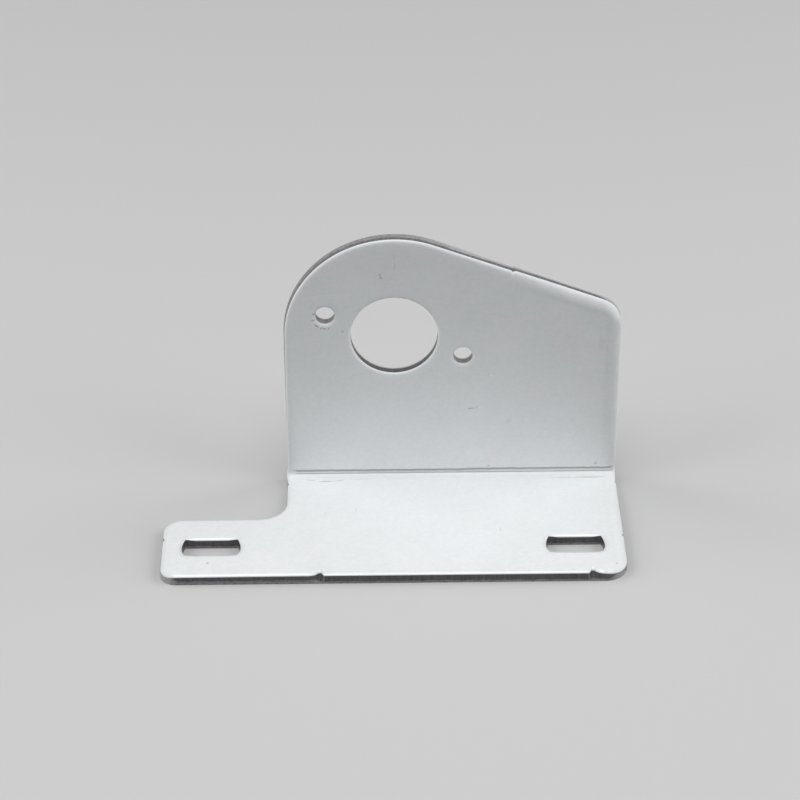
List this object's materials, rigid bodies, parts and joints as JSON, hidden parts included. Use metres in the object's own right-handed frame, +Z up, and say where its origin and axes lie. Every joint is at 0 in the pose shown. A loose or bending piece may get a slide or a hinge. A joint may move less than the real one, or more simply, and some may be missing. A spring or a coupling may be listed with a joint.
{
  "type": "motor mounting bracket",
  "caption": "Folded sheet-steel bracket: a flat slotted foot with a side tab, and an upright with a round bore and screw holes that carries a small motor by its face.",
  "frame": {"origin": "on the mounting face, the underside of the foot, halfway between the two slots", "axes": "+Z up from the mounting face, +Y to the rear, from the front edge of the foot to the upright, and +X to the right seen from the front, towards the end without the tab"},
  "size_m": [0.0788, 0.0316, 0.0492],
  "materials": {
    "zinc_plated_steel": "satin zinc plating over cold-rolled steel sheet, with duller sheared edges"
  },
  "bodies": {
    "root": {"bracket": "zinc_plated_steel"}
  },
  "joints": []
}
